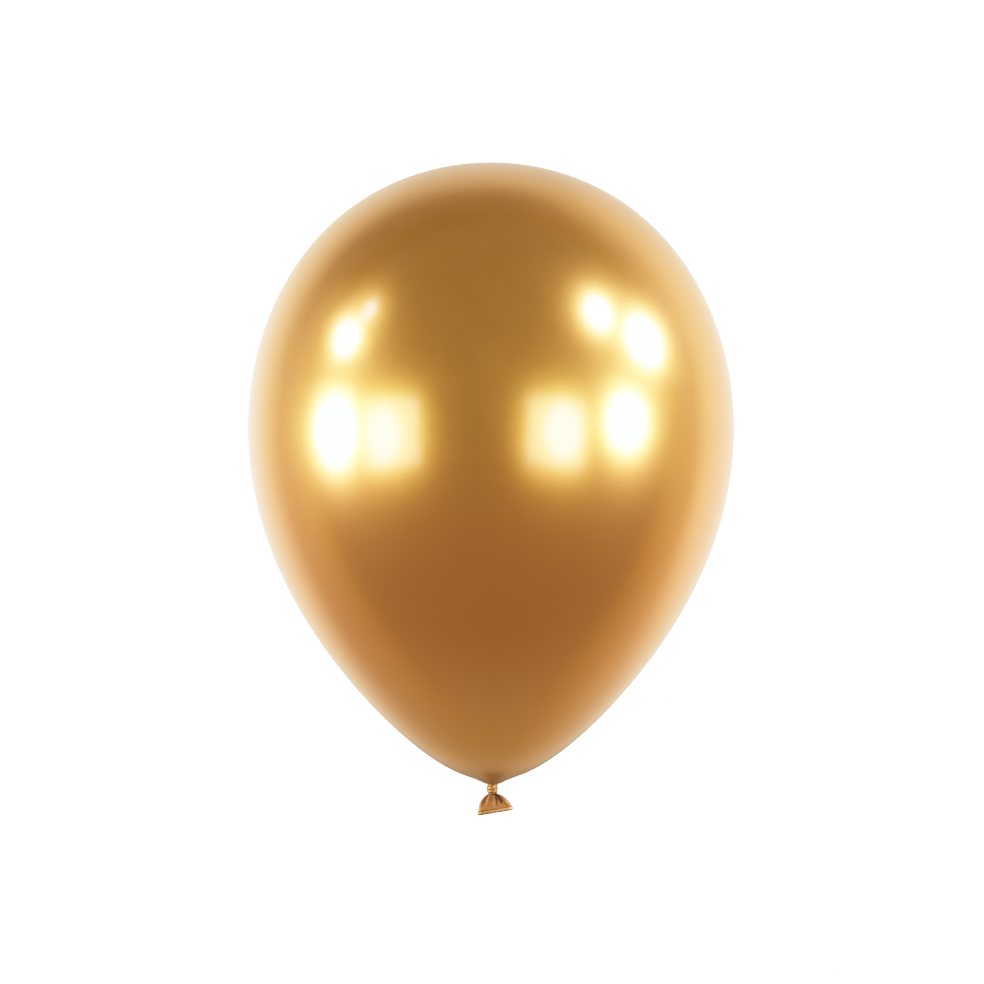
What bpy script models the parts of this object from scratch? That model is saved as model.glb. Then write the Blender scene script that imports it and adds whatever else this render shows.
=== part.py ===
"""Round latex party balloon, blown up and tied in its own neck, lying on its side on a small flat spot.

The balloon is one dip-moulded skin, so it is one closed solid, lofted through rings from the crown to the mouth:
the pear-shaped body, the funnel where the skin gathers, the wound knot, and the flattened mouth end of the neck,
a fan with folds that ends in the rolled rim and is open inside.

The long axis runs along Y, crown at +Y and mouth at -Y. The origin is the centre of the rest spot, below the
widest section, and +Z is up.
"""

import math

import bmesh
import bpy
from mathutils import Vector

# Body, in metres: the width is across the widest section, the length from the crown to the end of the pear
BODY_WIDTH = 0.280
BODY_LENGTH = 0.356
REST_SPOT_WIDTH = 0.040

# Funnel, where the skin leaves the pear and gathers into the knot
FUNNEL_MOUTH_DIAMETER = 0.030
FUNNEL_OVERRUN = 0.0018
THROAT_DIAMETER = 0.0084
THROAT_SLOPE = 1.8
PUCKER_DEPTH = 0.00025

# Knot: the neck wound round itself
KNOT_DIAMETER = 0.0065
KNOT_LENGTH = 0.0054
KNOT_SEAM_DEPTH = 0.0004
KNOT_SEAM_SLANT = 0.0010

# Mouth end of the neck, pulled out flat below the knot
TAIL_ROOT_WIDTH = 0.0046
TAIL_LEFT_REACH = 0.0081
TAIL_LEFT_DROP = 0.0101
TAIL_RIGHT_REACH = 0.0112
TAIL_RIGHT_DROP = 0.0070
TAIL_THICKNESS = 0.0036
SKIN_THICKNESS = 0.0005
POCKET_GAP = 0.0005
RIM_DIAMETER = 0.0026
RIM_INSET = 0.00075

# The pear outline is a sine series in the angle from the crown; these are its terms as shares of the first
OUTLINE_TERMS = (1.0, 0.1113, -0.0299, 0.0118)

# The two bends of each side edge of the fan, as shares of that side's reach and drop
LEFT_BENDS = ((0.25, 0.08), (0.93, 0.30))
RIGHT_BENDS = ((0.45, 0.12), (0.76, 0.54))

# Folds of the fan: where each crosses it at the knot and at the rim (-1 left edge, 1 right edge), then its
# half-width and its height in metres, negative for a valley
FRONT_FOLDS = (
    (-0.80, -0.66, 0.0013, -0.0013),
    (-0.25, -0.46, 0.0014, 0.0009),
    (0.10, 0.16, 0.0014, -0.0009),
    (0.34, 0.52, 0.0008, -0.0011),
    (0.66, 0.80, 0.0013, 0.0006),
)
BACK_FOLDS = (
    (-0.35, -0.55, 0.0016, -0.0009),
    (0.30, 0.40, 0.0018, -0.0010),
)

# Mesh density: points round each ring, and rings in each stretch
RING_POINTS = 64
BODY_RINGS = 29
FUNNEL_RINGS = 9
KNOT_RINGS = 18
TAIL_RINGS = 12
RIM_RINGS = 7
POCKET_RINGS = 4
PUCKERS = 8
KNOT_TURNS = 2

GOLD = (0.60, 0.33, 0.08, 1.0)


def clear_scene():
    for obj in list(bpy.data.objects):
        bpy.data.objects.remove(obj, do_unlink=True)


def ease(share):
    """0 to 1 with a level start and end."""
    share = min(1.0, max(0.0, share))
    return share * share * (3.0 - 2.0 * share)


def outline_series(angle):
    return sum(term * math.sin((k + 1) * angle) for k, term in enumerate(OUTLINE_TERMS))


FINE_ANGLES = [math.pi * i / 3600 for i in range(3601)]
WIDEST_ANGLE = max(FINE_ANGLES, key=outline_series)
WIDEST_SERIES = outline_series(WIDEST_ANGLE)

BODY_RADIUS = BODY_WIDTH / 2
AXIS_HEIGHT = math.sqrt(BODY_RADIUS**2 - (REST_SPOT_WIDTH / 2) ** 2)
CROWN_Y = BODY_LENGTH / 2 * (1.0 - math.cos(WIDEST_ANGLE))
KNOT_TOP_Y = CROWN_Y - BODY_LENGTH - FUNNEL_OVERRUN
KNOT_END_Y = KNOT_TOP_Y - KNOT_LENGTH


def pear(angle):
    """Place along the axis and radius of the pear at an angle from the crown."""
    along = CROWN_Y - BODY_LENGTH / 2 * (1.0 - math.cos(angle))
    return along, BODY_RADIUS * outline_series(angle) / WIDEST_SERIES


def funnel_angle():
    """The angle below the widest section where the pear has narrowed to the funnel's mouth."""
    below = [angle for angle in FINE_ANGLES if angle > WIDEST_ANGLE]
    return next(angle for angle in below if pear(angle)[1] < FUNNEL_MOUTH_DIAMETER / 2)


def funnel(share, start_angle):
    """A curve that leaves the pear along its own slope and enters the knot at the throat's slope."""
    y0, r0 = pear(start_angle)
    y_before, r_before = pear(start_angle - 0.01)
    y3, r3 = KNOT_TOP_Y, THROAT_DIAMETER / 2
    third = (y0 - y3) / 3.0
    y1, r1 = y0 - third, r0 - third * (r_before - r0) / (y_before - y0)
    y2, r2 = y3 + third, r3 + third * THROAT_SLOPE
    a, b, c, d = (1 - share) ** 3, 3 * share * (1 - share) ** 2, 3 * share**2 * (1 - share), share**3
    return a * y0 + b * y1 + c * y2 + d * y3, a * r0 + b * r1 + c * r2 + d * r3


def round_ring(y, radius_at):
    """A ring across the axis, whose radius is a function of the angle round it."""
    ring = []
    for i in range(RING_POINTS):
        angle = 2.0 * math.pi * i / RING_POINTS
        radius = radius_at(angle)
        ring.append(Vector((radius * math.cos(angle), y, AXIS_HEIGHT + radius * math.sin(angle))))
    return ring


def body_rings():
    """Crown to throat: even steps in angle down the pear, then short steps down the puckered funnel."""
    start = funnel_angle()
    rings = []
    for i in range(1, BODY_RINGS):
        y, radius = pear(start * i / BODY_RINGS)
        rings.append(round_ring(y, lambda angle, radius=radius: radius))
    for i in range(FUNNEL_RINGS + 1):
        share = i / FUNNEL_RINGS
        y, radius = funnel(share, start)
        pucker = PUCKER_DEPTH * ease(share * 1.5)
        rings.append(
            round_ring(y, lambda angle, r=radius, p=pucker: r + p * math.cos(PUCKERS * angle))
        )
    return rings


def knot_rings():
    """A barrel with slanting seams, where the wound neck lies turn on turn."""
    pitch = KNOT_LENGTH / KNOT_TURNS
    rings = []
    for i in range(1, KNOT_RINGS):
        share = i / KNOT_RINGS
        root = KNOT_DIAMETER * 0.85 + (TAIL_ROOT_WIDTH - KNOT_DIAMETER * 0.85) * share
        bulge = math.sin(math.pi * share) ** 0.4
        radius = (root + (KNOT_DIAMETER - root) * bulge) / 2

        def wound(angle, share=share, bulge=bulge, radius=radius):
            along = share * KNOT_LENGTH + KNOT_SEAM_SLANT * math.cos(angle + 0.6)
            seam = (0.5 + 0.5 * math.cos(2.0 * math.pi * along / pitch)) ** 3
            return radius - KNOT_SEAM_DEPTH * bulge * seam

        rings.append(round_ring(KNOT_TOP_Y - KNOT_LENGTH * share, wound))
    return rings


def side_edge(share, reach, drop, bends):
    """Point on a side edge of the fan, as its distance across and down from the knot's end."""
    root = TAIL_ROOT_WIDTH / 2
    upper = 3.0 * share * (1.0 - share) ** 2
    lower = 3.0 * share**2 * (1.0 - share)
    out = bends[0][0] * upper + bends[1][0] * lower + share**3
    down = bends[0][1] * upper + bends[1][1] * lower + share**3
    return Vector((root + (reach - root) * out, -drop * down, 0.0))


def stadium(i, half_width, half_height):
    """Point i and its outward direction on a flat outline with round ends, in even steps round it."""
    straight = max(0.0, half_width - half_height)
    lengths = (math.pi * half_height / 2, 2 * straight, math.pi * half_height, 2 * straight)
    place = (sum(lengths) + lengths[0]) * i / RING_POINTS
    if place < lengths[0]:
        turn = place / half_height
        return straight + half_height * math.cos(turn), half_height * math.sin(turn), turn
    place -= lengths[0]
    if place < lengths[1]:
        return straight - place, half_height, math.pi / 2
    place -= lengths[1]
    if place < lengths[2]:
        turn = math.pi / 2 + place / half_height
        return -straight + half_height * math.cos(turn), half_height * math.sin(turn), turn
    place -= lengths[2]
    if place < lengths[3]:
        return -straight + place, -half_height, 1.5 * math.pi
    turn = 1.5 * math.pi + (place - lengths[3]) / half_height
    return straight + half_height * math.cos(turn), half_height * math.sin(turn), turn


def fold_height(folds, across, half_width, share):
    """Sum of the folds at a place on the fan. They rise below the knot and fade at the rim."""
    strength = ease(share / 0.25) * (1.0 - 0.9 * ease((share - 0.70) / 0.30))
    height = 0.0
    for at_knot, at_rim, fold_half_width, rise in folds:
        middle = (at_knot + (at_rim - at_knot) * share) * half_width
        height += rise * math.exp(-(((across - middle) / fold_half_width) ** 2))
    return height * strength


def fan_frame(share):
    """Middle, direction across and half-width of the fan, share of the way from the knot to the rim."""
    left = side_edge(share, TAIL_LEFT_REACH, TAIL_LEFT_DROP, LEFT_BENDS)
    right = side_edge(share, TAIL_RIGHT_REACH, TAIL_RIGHT_DROP, RIGHT_BENDS)
    left.x = -left.x
    middle = (left + right) / 2 + Vector((0.0, KNOT_END_Y, AXIS_HEIGHT))
    return middle, (right - left).normalized(), (right - left).length / 2


def fan_ring(share):
    """Ring round the flattened neck. No fold cuts deeper than one layer of skin over the pocket."""
    middle, sideways, half_width = fan_frame(share)
    half_height = (TAIL_ROOT_WIDTH + (TAIL_THICKNESS - TAIL_ROOT_WIDTH) * ease(share)) / 2
    least = SKIN_THICKNESS + POCKET_GAP / 2
    ring = []
    for i in range(RING_POINTS):
        across, height, _ = stadium(i, half_width, half_height)
        folds = FRONT_FOLDS if height > 0 else BACK_FOLDS
        depth = abs(height)
        folded = depth + fold_height(folds, across, half_width, share) * depth / half_height
        depth = max(min(depth, least), folded)
        ring.append(middle + sideways * across + Vector((0.0, 0.0, math.copysign(depth, height))))
    return ring


def rim_rings():
    """The rolled rim: a round bead swept along the mouth, from the outside of the skin over to its inside."""
    middle, sideways, half_width = fan_frame(1.0)
    outward = Vector((sideways.y, -sideways.x, 0.0))
    bead = RIM_DIAMETER / 2
    half_gap = POCKET_GAP / 2
    rings = []
    for k in range(RIM_RINGS + 1):
        turn = math.radians(-55.0 + 230.0 * k / RIM_RINGS)
        ring = []
        for i in range(RING_POINTS):
            across, height, facing = stadium(i, half_width - RIM_INSET, half_gap + bead)
            normal = sideways * math.cos(facing) + Vector((0.0, 0.0, math.sin(facing)))
            core = middle + sideways * across + Vector((0.0, 0.0, height)) + outward * bead * 0.95
            ring.append(core + (normal * math.cos(turn) + outward * math.sin(turn)) * bead)
        rings.append(ring)
    return rings


def pocket_rings():
    """Inside of the open mouth, back up between the two layers of skin to where they press together."""
    rings = []
    for k in range(POCKET_RINGS):
        depth = k / (POCKET_RINGS - 1)
        middle, sideways, half_width = fan_frame(0.96 - 0.50 * depth)
        ring = []
        for i in range(RING_POINTS):
            across, height, _ = stadium(i, half_width * (0.85 - 0.25 * depth), POCKET_GAP / 2)
            ring.append(middle + sideways * across + Vector((0.0, 0.0, height)))
        rings.append(ring)
    return rings


def loft(rings):
    """One closed skin through all the rings, with a point at the crown and one at the bottom of the pocket."""
    shape = bmesh.new()
    rows = [[shape.verts.new(point) for point in ring] for ring in rings]
    crown = shape.verts.new((0.0, CROWN_Y, AXIS_HEIGHT))
    last = shape.verts.new(sum(rings[-1], Vector()) / RING_POINTS)
    for i in range(RING_POINTS):
        j = (i + 1) % RING_POINTS
        shape.faces.new((crown, rows[0][j], rows[0][i]))
        for upper, lower in zip(rows, rows[1:]):
            shape.faces.new((upper[i], upper[j], lower[j], lower[i]))
        shape.faces.new((rows[-1][i], rows[-1][j], last))
    bmesh.ops.recalc_face_normals(shape, faces=shape.faces)
    return shape


def cut_rest_spot(shape):
    """Slices off the underside at the floor, and closes it with one flat face."""
    geometry = shape.verts[:] + shape.edges[:] + shape.faces[:]
    cut = bmesh.ops.bisect_plane(
        shape, geom=geometry, dist=1e-7, plane_co=(0, 0, 0), plane_no=(0, 0, -1), clear_outer=True
    )
    edges = [item for item in cut["geom_cut"] if isinstance(item, bmesh.types.BMEdge)]
    bmesh.ops.contextual_create(shape, geom=edges)
    bmesh.ops.recalc_face_normals(shape, faces=shape.faces)


def gold_latex():
    material = bpy.data.materials.new("gold_latex")
    material.use_nodes = True
    shader = material.node_tree.nodes["Principled BSDF"]
    shader.inputs["Base Color"].default_value = GOLD
    shader.inputs["Metallic"].default_value = 0.9
    shader.inputs["Roughness"].default_value = 0.28
    shader.inputs["Coat Weight"].default_value = 0.5
    shader.inputs["Coat Roughness"].default_value = 0.12
    material.diffuse_color = GOLD
    return material


def make_balloon():
    fan = [fan_ring(i / TAIL_RINGS) for i in range(TAIL_RINGS + 1)]
    shape = loft(body_rings() + knot_rings() + fan + rim_rings() + pocket_rings())
    cut_rest_spot(shape)
    mesh = bpy.data.meshes.new("balloon")
    shape.to_mesh(mesh)
    shape.free()
    mesh.shade_smooth()
    mesh.set_sharp_from_angle(angle=math.radians(60.0))
    mesh.materials.append(gold_latex())
    balloon = bpy.data.objects.new("balloon", mesh)
    bpy.context.scene.collection.objects.link(balloon)
    return balloon


def main():
    clear_scene()
    make_balloon()


main()
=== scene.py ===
import math

import bpy
from mathutils import Matrix, Vector, noise


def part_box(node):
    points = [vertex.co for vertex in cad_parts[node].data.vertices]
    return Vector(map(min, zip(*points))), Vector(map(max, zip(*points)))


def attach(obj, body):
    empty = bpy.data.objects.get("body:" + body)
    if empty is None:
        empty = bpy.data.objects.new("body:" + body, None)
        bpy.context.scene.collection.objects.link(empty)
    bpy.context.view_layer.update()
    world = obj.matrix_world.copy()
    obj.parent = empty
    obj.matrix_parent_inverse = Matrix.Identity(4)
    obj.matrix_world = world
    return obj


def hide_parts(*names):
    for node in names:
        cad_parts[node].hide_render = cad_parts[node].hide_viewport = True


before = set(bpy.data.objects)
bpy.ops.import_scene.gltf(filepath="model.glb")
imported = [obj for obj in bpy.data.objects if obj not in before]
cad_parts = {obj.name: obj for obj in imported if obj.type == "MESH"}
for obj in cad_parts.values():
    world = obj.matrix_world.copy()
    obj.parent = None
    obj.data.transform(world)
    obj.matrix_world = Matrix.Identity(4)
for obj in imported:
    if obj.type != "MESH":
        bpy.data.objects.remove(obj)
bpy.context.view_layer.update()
scene = bpy.context.scene

# Camera. The balloon lies on its side and the camera hangs over it, looking straight down, with the crown at
# the top of the picture. It is a long lens three metres up, so the outline has almost no perspective.
view = bpy.data.cameras.new("view")
view.sensor_width = 36.0
view.lens = 190.6
view.clip_end = 20.0
camera = bpy.data.objects.new("camera", view)
camera.location = (0.0004, -0.0362, 3.1390)
camera.rotation_euler = (0.0, 0.0, math.radians(-0.26))
scene.collection.objects.link(camera)
scene.camera = camera

# Film. Its response lets the brightest gold turn pale and then white, as it does in a photograph.
brightest = 10.0
curve_places = (0.01, 0.025, 0.05, 0.1, 0.15, 0.2, 0.3, 0.45, 0.7)
scene.view_settings.view_transform = "Standard"
scene.view_settings.use_curve_mapping = True
film = scene.view_settings.curve_mapping
film.white_level = (brightest, brightest, brightest)
for share in curve_places:
    film.curves[3].points.new(share, 1.0 - math.exp(-share * brightest))
film.update()


# Body. One skin of latex, dipped on a mould and blown up into a pear that is round across, its crown at +Y.
# It is widest a little over half way up. The skin is thin and even, so its waviness is hardly there.
low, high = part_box("balloon")
body_radius = (high.x - low.x) / 2
axis_height = high.z - body_radius
crown_y = high.y
pear_length = 0.356
pear_terms = (1.0, 0.1113, -0.0299, 0.0118)
waviness = 0.00012
waves_in_metre = 11.0
points_round = 192
body_steps = 120


def ease(share):
    """From 0 to 1 with a soft start and end, and flat outside them."""
    share = min(1.0, max(0.0, share))
    return share * share * (3.0 - 2.0 * share)


def pear_series(angle):
    return sum(term * math.sin((k + 1) * angle) for k, term in enumerate(pear_terms))


fine_steps = 3600
fine_angles = [math.pi * i / fine_steps for i in range(fine_steps + 1)]
widest_series = max(pear_series(angle) for angle in fine_angles)


def pear(angle):
    """Place along the axis and radius, at an angle from the crown."""
    y = crown_y - pear_length / 2 * (1.0 - math.cos(angle))
    return y, body_radius * pear_series(angle) / widest_series


def hoop(y, radius_at):
    """A ring of points across the long axis."""
    points = []
    for i in range(points_round):
        angle = 2.0 * math.pi * i / points_round
        radius = radius_at(angle)
        points.append(Vector((radius * math.cos(angle), y, axis_height + radius * math.sin(angle))))
    return points


gather_radius = 0.015
below_widest = 2.0
gather_angle = next(a for a in fine_angles if a > below_widest and pear(a)[1] < gather_radius)
rings = []
for step in range(1, body_steps):
    y, radius = pear(gather_angle * step / body_steps)
    ring = []
    for point in hoop(y, lambda angle: radius):
        outward = Vector((point.x, 0.0, point.z - axis_height)) / radius
        ring.append(point + outward * noise.noise(point * waves_in_metre) * waviness)
    rings.append(ring)


# Gather. Below the pear the skin is drawn together into the knot, in a short funnel with uneven puckers. They
# are deepest at the knot and fade out towards the body.
knot_top = crown_y - pear_length - 0.0018
throat_radius = 0.0044
throat_slope = 1.8
pucker_depth = 0.00022
pucker_rise = 1.4
gather_steps = 40

# Each set of puckers: how many go round, their share of the depth, and where the first one stands
pucker_sets = (
    (8, 0.50, 0.0),
    (13, 0.35, 1.9),
    (5, 0.25, 2.2),
)


def gather(share):
    """Place along the axis and radius, on a curve from the pear's own slope to the throat."""
    y_start, radius_start = pear(gather_angle)
    y_before, radius_before = pear(gather_angle - 0.01)
    pear_slope = (radius_before - radius_start) / (y_before - y_start)
    third = (y_start - knot_top) / 3.0
    ys = (y_start, y_start - third, knot_top + third, knot_top)
    after_start = radius_start - third * pear_slope
    before_throat = throat_radius + third * throat_slope
    radii = (radius_start, after_start, before_throat, throat_radius)
    weights = ((1 - share) ** 3, 3 * share * (1 - share) ** 2, 3 * share**2 * (1 - share), share**3)
    return sum(w * y for w, y in zip(weights, ys)), sum(w * r for w, r in zip(weights, radii))


def puckers(angle):
    return sum(depth * math.cos(count * angle + start) for count, depth, start in pucker_sets)


for step in range(gather_steps + 1):
    share = step / gather_steps
    y, radius = gather(share)
    depth = pucker_depth * ease(share * pucker_rise)
    rings.append(hoop(y, lambda angle: radius + depth * puckers(angle)))


# Knot. The neck is wound twice round itself and pulled tight into a small barrel. The turns slant, and the
# latex in them is bunched into fine strands.
knot_length = 0.0054
knot_radius = 0.00340
knot_shoulder = 0.85 * knot_radius
knot_fullness = 0.4
knot_lean = 0.0003
knot_turns = 2.0
neck_radius = 0.0023
turn_slant = 0.0010
slant_start = 0.6
seam_depth = 0.00036
seam_sharpness = 5
strands_in_turn = 5.0
strand_depth = 0.000035
strand_drift = 2.0
knot_steps = 64


def knot_radius_at(share, angle):
    """Radius of the barrel, less the seams between its turns and the fine strands in them."""
    root = knot_shoulder + (neck_radius - knot_shoulder) * share
    bulge = math.sin(math.pi * share) ** knot_fullness
    turn = (share * knot_length + turn_slant * math.cos(angle + slant_start)) / knot_length * knot_turns
    seam = (0.5 + 0.5 * math.cos(2.0 * math.pi * turn)) ** seam_sharpness
    drift = strand_drift * noise.noise(Vector((math.cos(angle), math.sin(angle), share * 3)))
    strands = math.cos(2.0 * math.pi * strands_in_turn * turn + drift)
    return root + (knot_radius - root) * bulge - bulge * (seam_depth * seam + strand_depth * strands)


for step in range(1, knot_steps):
    share = step / knot_steps
    lean = Vector((-knot_lean * math.sin(math.pi * share), 0.0, 0.0))
    ring = hoop(knot_top - knot_length * share, lambda angle: knot_radius_at(share, angle))
    rings.append([point + lean for point in ring])


# Tail. Below the knot the mouth end of the neck is pressed flat into a small fan that leans to the right. Its
# two layers of slack latex lie on each other, puckered from the knot and smooth towards the mouth.
fan_left = (0.0085, 0.0103)
fan_right = (0.0112, 0.0072)
left_bends = ((0.25, 0.08), (0.93, 0.30))
right_bends = ((0.45, 0.12), (0.76, 0.54))
fan_thickness = 0.0036
latex_thickness = 0.0005
layer_gap = 0.0005
fold_lead_in = 0.06
fold_lead_out = 0.12
folds_full_at = 0.25
folds_calm_from = 0.70
rim_calm = 0.9
wrinkle_height = 0.00012
wrinkles_in_metre = 900.0
edge_shade = 0.0012
fan_steps = 60

# Each fold: where it crosses the fan at the knot and at the rim (-1 left edge, 1 right edge), its half-width
# and height in metres, and the stretch of the fan it runs over
front_folds = (
    (-0.80, -0.68, 0.0017, -0.0005, 0.0, 1.0),
    (-0.25, -0.46, 0.0016, 0.0002, 0.0, 1.0),
    (0.10, 0.16, 0.0014, -0.0009, 0.0, 1.0),
    (0.34, 0.52, 0.0008, -0.0009, 0.0, 1.0),
    (0.66, 0.80, 0.0013, 0.0004, 0.0, 1.0),
    (-0.66, -0.60, 0.00035, -0.0004, 0.05, 0.8),
    (0.40, 0.50, 0.00030, -0.0006, 0.0, 0.8),
    (-0.55, 0.45, 0.00030, -0.00035, 0.0, 0.35),
    (0.55, -0.45, 0.00030, -0.00030, 0.0, 0.30),
    (-0.05, -0.14, 0.00040, 0.00025, 0.0, 0.7),
)
back_folds = (
    (-0.35, -0.55, 0.0016, -0.0009, 0.0, 1.0),
    (0.30, 0.40, 0.0018, -0.0010, 0.0, 1.0),
    (0.05, 0.02, 0.0005, 0.0004, 0.0, 0.8),
    (-0.70, -0.78, 0.0004, -0.0004, 0.0, 0.8),
    (0.65, 0.74, 0.0004, -0.0004, 0.0, 0.8),
)


def side_edge(share, reach_and_drop, bends):
    """Across and down from the knot's end, along one side edge of the fan."""
    reach, drop = reach_and_drop
    upper = 3.0 * share * (1.0 - share) ** 2
    lower = 3.0 * share**2 * (1.0 - share)
    out = bends[0][0] * upper + bends[1][0] * lower + share**3
    down = bends[0][1] * upper + bends[1][1] * lower + share**3
    return Vector((neck_radius + (reach - neck_radius) * out, -drop * down, 0.0))


def fan_frame(share):
    """Middle, direction across and half-width of the fan."""
    left = side_edge(share, fan_left, left_bends)
    right = side_edge(share, fan_right, right_bends)
    left.x = -left.x
    middle = (left + right) / 2 + Vector((0.0, knot_top - knot_length, axis_height))
    return middle, (right - left).normalized(), (right - left).length / 2


def flat_loop(i, half_width, half_height):
    """Across, height and outward turn of point i on a flat loop with round ends, from its right end."""
    straight = max(0.0, half_width - half_height)
    quarter = math.pi * half_height / 2
    place = 4 * (quarter + straight) * i / points_round
    if place <= quarter:
        end, turn = straight, place / half_height
    elif place <= quarter + 2 * straight:
        return straight + quarter - place, half_height, 0.5 * math.pi
    elif place <= 3 * quarter + 2 * straight:
        end, turn = -straight, (place - 2 * straight) / half_height
    elif place <= 3 * quarter + 4 * straight:
        return place - 3 * (quarter + straight), -half_height, 1.5 * math.pi
    else:
        end, turn = straight, (place - 4 * straight) / half_height
    return end + half_height * math.cos(turn), half_height * math.sin(turn), turn


def fold_height(folds, across, half_width, share):
    """Height of all the folds at one place. They rise out of the knot and lie down before the rim."""
    height = 0.0
    for at_knot, at_rim, fold_half_width, rise, first, last in folds:
        along = (share - first) / (last - first)
        middle = (at_knot + (at_rim - at_knot) * along) * half_width
        window = ease((share - first) / fold_lead_in + 0.3) * ease((last - share) / fold_lead_out)
        height += rise * window * math.exp(-(((across - middle) / fold_half_width) ** 2))
    calm = rim_calm * ease((share - folds_calm_from) / (1.0 - folds_calm_from))
    return height * ease(share / folds_full_at) * (1.0 - calm)


fan_start = 1 + len(rings) * points_round
painted_fold_shading = []


def fan_ring(share):
    """A ring of the fan. Its folds also go into the painted shading of the slack skin, with painted shade
    along the side edges.
    """
    middle, sideways, half_width = fan_frame(share)
    half_height = neck_radius + (fan_thickness / 2 - neck_radius) * ease(share)
    least = latex_thickness + layer_gap / 2
    points = []
    for i in range(points_round):
        across, height, _ = flat_loop(i, half_width, half_height)
        folds = front_folds if height > 0 else back_folds
        depth = abs(height)
        fullness = depth / half_height
        layer = 5.0 if height > 0 else 9.0
        wrinkle_place = Vector((across * wrinkles_in_metre, share * 2.5, layer))
        wrinkle = noise.noise(wrinkle_place) * wrinkle_height * (1.0 - share)
        relief_and_painted_shade = (fold_height(folds, across, half_width, share) + wrinkle) * fullness
        # Painted shading: the folds' relief, less painted shade towards the fan's side edges
        painted_fold_shading.append(relief_and_painted_shade - edge_shade * (1.0 - fullness))
        depth = max(min(depth, least), depth + relief_and_painted_shade)
        points.append(middle + sideways * across + Vector((0.0, 0.0, math.copysign(depth, height))))
    return points


for step in range(fan_steps + 1):
    rings.append(fan_ring(step / fan_steps))


# Rolled rim. The mouth of the neck is rolled into a soft round bead, thicker at the left end where the roll
# has slipped together, and open between its two sides into a shallow pocket. A painted highlight along the
# bead grows towards the right, and painted shade lies in the crease above the roll and inside the mouth.
bead_left = 0.00140
bead_right = 0.00130
bead_rise = 1.3
bead_unevenness = 0.05
bead_waves_in_metre = 420.0
rim_inset = 0.00075
roll_inset = 0.95 * bead_left
roll_start = -55.0
roll_turn = 230.0
roll_steps = 16
crease_until = -25.0
mouth_from = 28.0
left_painted_highlight = 0.0001
right_painted_highlight = 0.0010
hollow_shade = 0.0012
pocket_start = 0.96
pocket_depth = 0.50
pocket_width = 0.85
pocket_taper = 0.25
pocket_steps = 9
rim_middle, rim_sideways, rim_half_width = fan_frame(1.0)
rim_outward = Vector((rim_sideways.y, -rim_sideways.x, 0.0))

for step in range(roll_steps + 1):
    degrees = roll_start + roll_turn * step / roll_steps
    turn = math.radians(degrees)
    crease_shade = 0.6 * ease((crease_until - degrees) / 20.0)
    shade_in_hollows = max(crease_shade, ease((degrees - mouth_from) / 32.0))
    ring = []
    for i in range(points_round):
        across, height, facing = flat_loop(i, rim_half_width - rim_inset, layer_gap / 2 + bead_left)
        outward = rim_sideways * math.cos(facing) + Vector((0.0, 0.0, math.sin(facing)))
        place = across / rim_half_width * 0.5 + 0.5
        # Painted highlight along the bead, growing towards the right, less painted shade in the crease and
        # the mouth
        painted_fold_shading.append(left_painted_highlight + (right_painted_highlight - left_painted_highlight) * place - hollow_shade * shade_in_hollows)
        bead = bead_left + (bead_right - bead_left) * ease(place * bead_rise)
        wave_place = Vector((across * bead_waves_in_metre, math.copysign(1.0, height), 3.0))
        bead *= 1.0 + bead_unevenness * noise.noise(wave_place)
        core = rim_middle + rim_sideways * across + Vector((0.0, 0.0, height)) + rim_outward * roll_inset
        ring.append(core + (outward * math.cos(turn) + rim_outward * math.sin(turn)) * bead)
    rings.append(ring)

for step in range(pocket_steps + 1):
    middle, sideways, half_width = fan_frame(pocket_start - pocket_depth * step / pocket_steps)
    pocket_half_width = half_width * (pocket_width - pocket_taper * step / pocket_steps)
    ring = []
    for i in range(points_round):
        across, height, _ = flat_loop(i, pocket_half_width, layer_gap / 2)
        ring.append(middle + sideways * across + Vector((0.0, 0.0, height)))
    rings.append(ring)


# Skin. All the rings are one closed skin. The balloon rests on a small spot that its own weight and a little
# slack press flat, with a soft edge where the skin curves up again.
spot_softness = 0.0009
corners = [(0.0, crown_y, axis_height)]
for ring in rings:
    corners += [(point.x, point.y, (point.z + math.hypot(point.z, spot_softness)) / 2) for point in ring]
corners.append(sum(rings[-1], Vector()) / points_round)
faces = []
for i in range(points_round):
    j = (i + 1) % points_round
    faces.append((0, 1 + j, 1 + i))
    for k in range(len(rings) - 1):
        first = 1 + k * points_round
        below = first + points_round
        faces.append((first + i, first + j, below + j, below + i))
    last = 1 + (len(rings) - 1) * points_round
    faces.append((last + i, last + j, len(corners) - 1))
skin = bpy.data.meshes.new("skin")
skin.from_pydata(corners, [], faces)
skin.update()
skin.shade_smooth()
# Painted shading of the slack end, kept on the points: painted shade and highlight from its folds, edges and
# rim
painted_shading_at = [0.0] * len(corners)
painted_shading_at[fan_start : fan_start + len(painted_fold_shading)] = painted_fold_shading
skin.attributes.new("painted fold shade and highlight", "FLOAT", "POINT").data.foreach_set("value", painted_shading_at)
balloon = bpy.data.objects.new("balloon_skin", skin)
scene.collection.objects.link(balloon)

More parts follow.
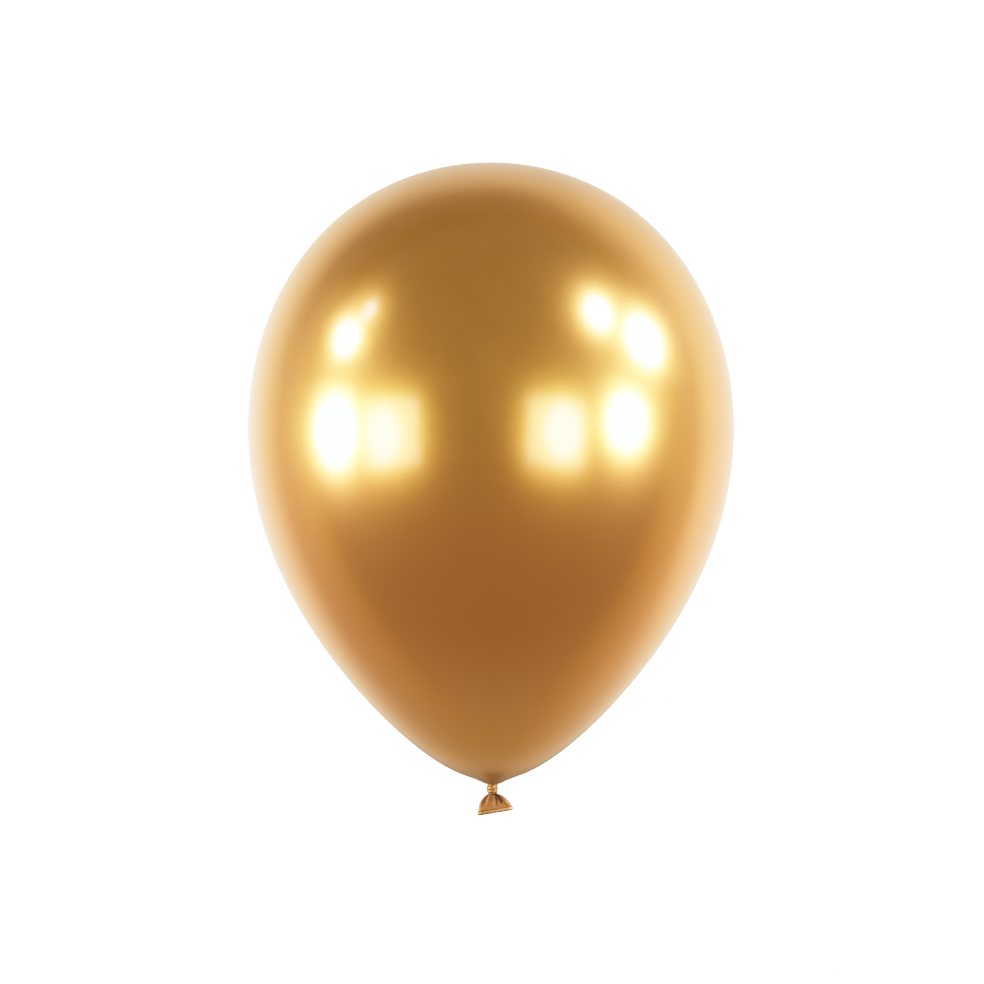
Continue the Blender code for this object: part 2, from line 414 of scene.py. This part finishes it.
# Satin latex. The skin is dyed through with gold pearl pigment and has the soft shine of stretched rubber: a
# metallic gold with a thin clear gloss over it. It is thicker, duller and browner where it isn't stretched.
body_golds = ((0.84, 0.300, 0.014, 1.0), (0.88, 0.316, 0.016, 1.0))
lower_gold = (0.85, 0.250, 0.014, 1.0)
neck_gold = (0.745, 0.266, 0.032, 1.0)
crown_gold = (0.70, 0.25, 0.015, 1.0)
funnel_gold = (0.455, 0.230, 0.062, 1.0)
knot_golds = ((0.36, 0.130, 0.011, 1.0), (0.53, 0.220, 0.026, 1.0))
tail_golds = ((0.46, 0.150, 0.0155, 1.0), (0.37, 0.116, 0.0115, 1.0))
painted_valley_shade_gold = (0.16, 0.048, 0.005, 1.0)
painted_ridge_highlight_gold = (0.72, 0.320, 0.062, 1.0)
painted_shade_below_knot_gold = (0.19, 0.058, 0.006, 1.0)

latex = bpy.data.materials.new("satin gold latex")
latex.use_nodes = True
nodes = latex.node_tree.nodes
links = latex.node_tree.links
shine = nodes["Principled BSDF"]
shine.inputs["IOR"].default_value = 1.5
shine.inputs["Coat Roughness"].default_value = 0.16
shine.inputs["Coat IOR"].default_value = 1.5


def node(kind, **settings):
    made = nodes.new(kind)
    for name, value in settings.items():
        setattr(made, name, value)
    return made


def feed(value, socket):
    if isinstance(value, bpy.types.NodeSocket):
        links.new(value, socket)
    else:
        socket.default_value = value


def rescale(value, old_low, old_high, new_low, new_high, smooth=False):
    made = node("ShaderNodeMapRange", interpolation_type="SMOOTHSTEP" if smooth else "LINEAR")
    feed(value, made.inputs["Value"])
    feed(old_low, made.inputs["From Min"])
    feed(old_high, made.inputs["From Max"])
    feed(new_low, made.inputs["To Min"])
    feed(new_high, made.inputs["To Max"])
    return made.outputs["Result"]


def blend(share, first, second):
    made = node("ShaderNodeMix", data_type="RGBA")
    feed(share, made.inputs[0])
    feed(first, made.inputs[6])
    feed(second, made.inputs[7])
    return made.outputs[2]


def worked_out(operation, first, second=0.0):
    made = node("ShaderNodeMath", operation=operation)
    feed(first, made.inputs[0])
    feed(second, made.inputs[1])
    return made.outputs[0]


def plus(first, second):
    return worked_out("ADD", first, second)


def times(first, second):
    return worked_out("MULTIPLY", first, second)


def along_axes(place):
    made = node("ShaderNodeSeparateXYZ")
    feed(place, made.inputs[0])
    return made.outputs


def away_from(point, place):
    made = node("ShaderNodeVectorMath", operation="DISTANCE")
    feed(place, made.inputs[0])
    made.inputs[1].default_value = point
    return made.outputs["Value"]


def cloud(place, scale, detail):
    made = node("ShaderNodeTexNoise")
    feed(place, made.inputs["Vector"])
    made.inputs["Scale"].default_value = scale
    made.inputs["Detail"].default_value = detail
    return made.outputs["Fac"]


# Where the skin is slack, which part of the slack end it is, and the dull spot at the crown
knot_end = knot_top - knot_length
place = node("ShaderNodeTexCoord").outputs["Object"]
along = along_axes(place)["Y"]
slack = rescale(along, knot_top + 0.0170, knot_top - 0.0005, 0.0, 1.0, smooth=True)
above_knot = rescale(along, knot_top - 0.0002, knot_top + 0.0010, 0.0, 1.0, smooth=True)
below_knot = rescale(along, knot_end + 0.0008, knot_end - 0.0008, 0.0, 1.0, smooth=True)
# Painted shade on the tail just below the knot, where the folds run in under it
shade_below_knot_mask = rescale(along, knot_end - 0.0080, knot_end - 0.0015, 0.0, 0.85, smooth=True)
neck_side = rescale(along, knot_top + 0.085, knot_top + 0.020, 0.0, 1.0, smooth=True)
lower_half = rescale(along, 0.020, -0.080, 0.0, 1.0, smooth=True)
from_crown = away_from((0.0, crown_y, axis_height), place)
crown_spot = rescale(from_crown, 0.008, 0.020, 1.0, 0.0, smooth=True)

# Stretched skin: an even pearl gold, redder in the lower half and paler by the neck
pearl = rescale(cloud(place, 60.0, 3.0), 0.35, 0.65, 0.0, 1.0)
body_gold = blend(pearl, *body_golds)
body_gold = blend(lower_half, body_gold, lower_gold)
body_gold = blend(neck_side, body_gold, neck_gold)
body_gold = blend(times(crown_spot, 0.5), body_gold, crown_gold)

# Slack skin: speckled, with painted shade in the fold valleys, along the tail's edges and in the rim's
# hollows, painted highlight on the ridges and along the rim, and painted shade just below the knot
speckle = rescale(cloud(place, 1100.0, 2.0), 0.35, 0.65, 0.0, 1.0)
relief_and_painted_shade = node("ShaderNodeAttribute", attribute_name="painted fold shade and highlight").outputs["Fac"]
knot_gold = blend(speckle, *knot_golds)
tail_gold = blend(times(speckle, 0.4), *tail_golds)
# Painted shade where the folds and edges lie low, painted highlight where they rise
tail_gold = blend(rescale(relief_and_painted_shade, -0.00005, -0.0005, 0.0, 0.9), tail_gold, painted_valley_shade_gold)
tail_gold = blend(rescale(relief_and_painted_shade, 0.0001, 0.0007, 0.0, 0.8), tail_gold, painted_ridge_highlight_gold)
tail_gold = blend(shade_below_knot_mask, tail_gold, painted_shade_below_knot_gold)
slack_gold = blend(above_knot, blend(below_knot, knot_gold, tail_gold), funnel_gold)
feed(blend(slack, body_gold, slack_gold), shine.inputs["Base Color"])

# The slack skin has a rougher shine, a little less metal in it and almost no gloss
flakes = rescale(cloud(place, 2600.0, 1.0), 0.3, 0.7, 0.250, 0.270)
stretched_roughness = plus(flakes, times(crown_spot, 0.06))
feed(plus(stretched_roughness, times(slack, 0.31)), shine.inputs["Roughness"])
feed(rescale(slack, 0.0, 1.0, 0.97, 0.94), shine.inputs["Metallic"])
gloss = times(rescale(slack, 0.0, 1.0, 1.0, 0.02), rescale(neck_side, 0.0, 1.0, 1.0, 0.75))
feed(gloss, shine.inputs["Coat Weight"])

grain = node("ShaderNodeBump")
grain.inputs["Strength"].default_value = 0.05
grain.inputs["Distance"].default_value = 0.00002
feed(cloud(place, 1500.0, 2.0), grain.inputs["Height"])
feed(grain.outputs["Normal"], shine.inputs["Normal"])

skin.materials.append(latex)
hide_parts("balloon")
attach(balloon, "root")


# Floor. A plain white studio floor of matt paper. It glows by itself, white in the picture and a dimmer warm
# tone in the balloon's edges, brightest beside the balloon, with a painted soft shadow where the balloon
# touches it.
white = (1.0, 1.0, 1.0, 1.0)
ring_centre = (0.062, 0.0, 0.0)
upper_right_spot = (0.42, 0.45, 0.0)
lower_right_spot = (0.45, -0.40, 0.0)
under_tail = (0.0, -0.215, 0.0)
left_tint = (1.0, 0.87, 0.76, 1.0)
right_tint = (0.95, 0.76, 0.54, 1.0)
end_tint = (1.0, 0.84, 0.54, 1.0)
far_tint = (1.0, 0.90, 0.60, 1.0)
shadow_tint = (1.0, 0.86, 0.68, 1.0)
seen_paper = (0.10, 0.08, 0.028, 1.0)
mirrored_paper = (0.05, 0.04, 0.015, 1.0)
floor_reach = 4.0
floor_corners = [(-floor_reach, -floor_reach, 0), (floor_reach, -floor_reach, 0)]
floor_corners += [(floor_reach, floor_reach, 0), (-floor_reach, floor_reach, 0)]

floor_mesh = bpy.data.meshes.new("floor")
floor_mesh.from_pydata(floor_corners, [], [(0, 1, 2, 3)])
floor = bpy.data.objects.new("floor", floor_mesh)
scene.collection.objects.link(floor)
paper = bpy.data.materials.new("pale floor")
paper.use_nodes = True
nodes = paper.node_tree.nodes
links = paper.node_tree.links
matte = nodes["Principled BSDF"]
matte.inputs["Roughness"].default_value = 0.9
matte.inputs["Specular IOR Level"].default_value = 0.1
seen = node("ShaderNodeLightPath").outputs["Is Camera Ray"]
spot = node("ShaderNodeTexCoord").outputs["Object"]
axes = along_axes(spot)
out_sideways = plus(worked_out("ABSOLUTE", axes["X"]), 0.1)
to_ends = worked_out("DIVIDE", worked_out("ABSOLUTE", axes["Y"]), out_sideways)
from_ring_centre = away_from(ring_centre, spot)

# Glow beside the balloon, strongest at its two sides and weaker towards its neck
near = rescale(from_ring_centre, 0.27, 0.62, 1.0, 0.0, smooth=True)
near = times(near, rescale(to_ends, 0.1, 1.5, 1.65, 0.85))
near = times(near, rescale(axes["Y"], -0.15, -0.35, 1.0, 0.4, smooth=True))

# Two brighter places to the right
bright_places = rescale(away_from(upper_right_spot, spot), 0.05, 0.42, 0.55, 0.0, smooth=True)
lower_place = rescale(away_from(lower_right_spot, spot), 0.05, 0.50, 0.20, 0.0, smooth=True)
bright_places = plus(bright_places, lower_place)

# Glow of the floor further out
side_glow = rescale(to_ends, 0.1, 0.85, 0.58, 0.0, smooth=True)
side_glow = times(side_glow, rescale(axes["Y"], -0.20, 0.0, 0.78, 1.0))
end_glow = rescale(axes["Y"], -0.4, 0.2, 0.62, 0.28)
crown_glow = times(rescale(axes["Y"], 0.3, 1.2, 0.0, 0.10), rescale(axes["X"], -0.3, 0.5, 0.2, 1.0))
far = plus(plus(side_glow, end_glow), crown_glow)

# Painted shade: it is dim under the tail and where the balloon touches
touch = node("ShaderNodeVectorMath", operation="MULTIPLY")
feed(spot, touch.inputs[0])
touch.inputs[1].default_value = (1.0, 0.8, 0.0)
from_touch = away_from((0.0, 0.0, 0.0), touch.outputs[0])
glow = plus(plus(near, bright_places), far)
glow = times(glow, rescale(away_from(under_tail, spot), 0.03, 0.12, 0.25, 1.0, smooth=True))
glow = times(glow, rescale(from_touch, 0.02, 0.11, 0.15, 1.0, smooth=True))
open_floor = worked_out("POWER", rescale(from_touch, 0.015, 0.125, 0.0, 1.0, smooth=True), 2.5)

side_tint = blend(rescale(axes["X"], -0.1, 0.1, 0.0, 1.0), left_tint, right_tint)
close_tint = blend(rescale(to_ends, 0.12, 0.50, 0.0, 1.0), side_tint, end_tint)
close_in = rescale(from_ring_centre, 0.20, 0.45, 1.0, 0.0, smooth=True)
tint = blend(close_in, far_tint, close_tint)

brightness = node("ShaderNodeMix", data_type="FLOAT")
feed(seen, brightness.inputs[0])
feed(glow, brightness.inputs[2])
feed(rescale(open_floor, 0.0, 1.0, 0.10, 6.0), brightness.inputs[3])
feed(blend(seen, mirrored_paper, seen_paper), matte.inputs["Base Color"])
feed(brightness.outputs[0], matte.inputs["Emission Strength"])
feed(blend(seen, tint, blend(open_floor, shadow_tint, white)), matte.inputs["Emission Color"])
floor_mesh.materials.append(paper)


# Studio light. Soft boxes stand round the balloon, four to the left and four to the right, and show in its
# skin as the bright ovals and squares. The two square ones have a hotter lamp in the middle. All are bluer
# than daylight, as the gold takes the blue out of them.
lit_point = Vector((0.0, 0.02, 0.2))


def soft_box(name, place, size, brightness, shape="ELLIPSE", roll=0.0, blue=3.0):
    lamp = bpy.data.lights.new(name, "AREA")
    lamp.shape = shape
    lamp.size, lamp.size_y = size
    lamp.energy = brightness * size[0] * size[1] * math.pi
    lamp.color = (0.8, 1.0, blue)
    box = bpy.data.objects.new(name, lamp)
    box.location = place
    facing = (lit_point - Vector(place)).to_track_quat("-Z", "Y").to_matrix()
    box.rotation_euler = (facing @ Matrix.Rotation(math.radians(roll), 3, "Z")).to_euler()
    box.visible_camera = False
    scene.collection.objects.link(box)


soft_box("left oval box", (-1.366, -0.006, 0.527), (0.40, 0.43), 76.0)
soft_box("left square box", (-1.019, -0.026, 1.135), (0.55, 0.68), 7.4, "RECTANGLE", blue=1.65)
soft_box("left square box lamp", (-1.068, -0.050, 1.077), (0.42, 0.36), 7.5, blue=3.0)
soft_box("left small box", (-1.214, 0.625, 0.426), (0.185, 0.235), 60.0)
soft_box("left slit", (-1.042, 0.826, 0.512), (0.16, 0.12), 17.0, blue=2.0)
soft_box("right small box", (0.975, 0.838, 0.668), (0.21, 0.22), 62.0)
soft_box("right tall box", (1.267, 0.583, 0.317), (0.29, 0.40), 54.0, roll=-14.0)
soft_box("right oval box", (1.265, 0.052, 0.768), (0.32, 0.385), 78.0)
soft_box("right square box", (0.705, -0.034, 1.391), (0.58, 0.68), 6.6, "RECTANGLE", blue=1.55)
soft_box("right square box lamp", (0.768, -0.030, 1.357), (0.45, 0.40), 8.0, blue=3.0)


# Room. The walls and ceiling are an even pale grey that fills in, with brighter walls to the two sides and a
# faint panel overhead. Seen straight on they are white.
panel_direction = (0.04, 0.33, 0.944)
seen_room = (6.0, 6.0, 6.0, 1.0)
room = bpy.data.worlds.new("room")
room.use_nodes = True
scene.world = room
nodes = room.node_tree.nodes
links = room.node_tree.links
direction = node("ShaderNodeTexCoord").outputs["Generated"]
toward = along_axes(direction)
sideways = worked_out("ABSOLUTE", toward["X"])
level = rescale(toward["Y"], -0.60, 0.10, 0.38, 0.40, smooth=True)
level = plus(level, rescale(toward["Z"], 0.90, 1.0, 0.0, -0.05, smooth=True))
low_light = times(rescale(toward["Z"], 0.0, 0.30, 0.20, 0.0), rescale(sideways, 0.2, 0.7, 1.0, 0.0))
low_light = times(low_light, rescale(toward["Y"], -0.6, 0.1, 1.0, 0.0))
panel = rescale(away_from(panel_direction, direction), 0.06, 0.24, 0.10, 0.0, smooth=True)
level = plus(plus(level, low_light), panel)
walls = node("ShaderNodeMix", data_type="FLOAT")
feed(rescale(sideways, 0.60, 0.97, 0.0, 1.0, smooth=True), walls.inputs[0])
feed(level, walls.inputs[2])
feed(rescale(toward["Y"], -0.30, 0.0, 0.44, 0.86), walls.inputs[3])
seen = node("ShaderNodeLightPath").outputs["Is Camera Ray"]
feed(blend(seen, walls.outputs[0], seen_room), nodes["Background"].inputs["Color"])
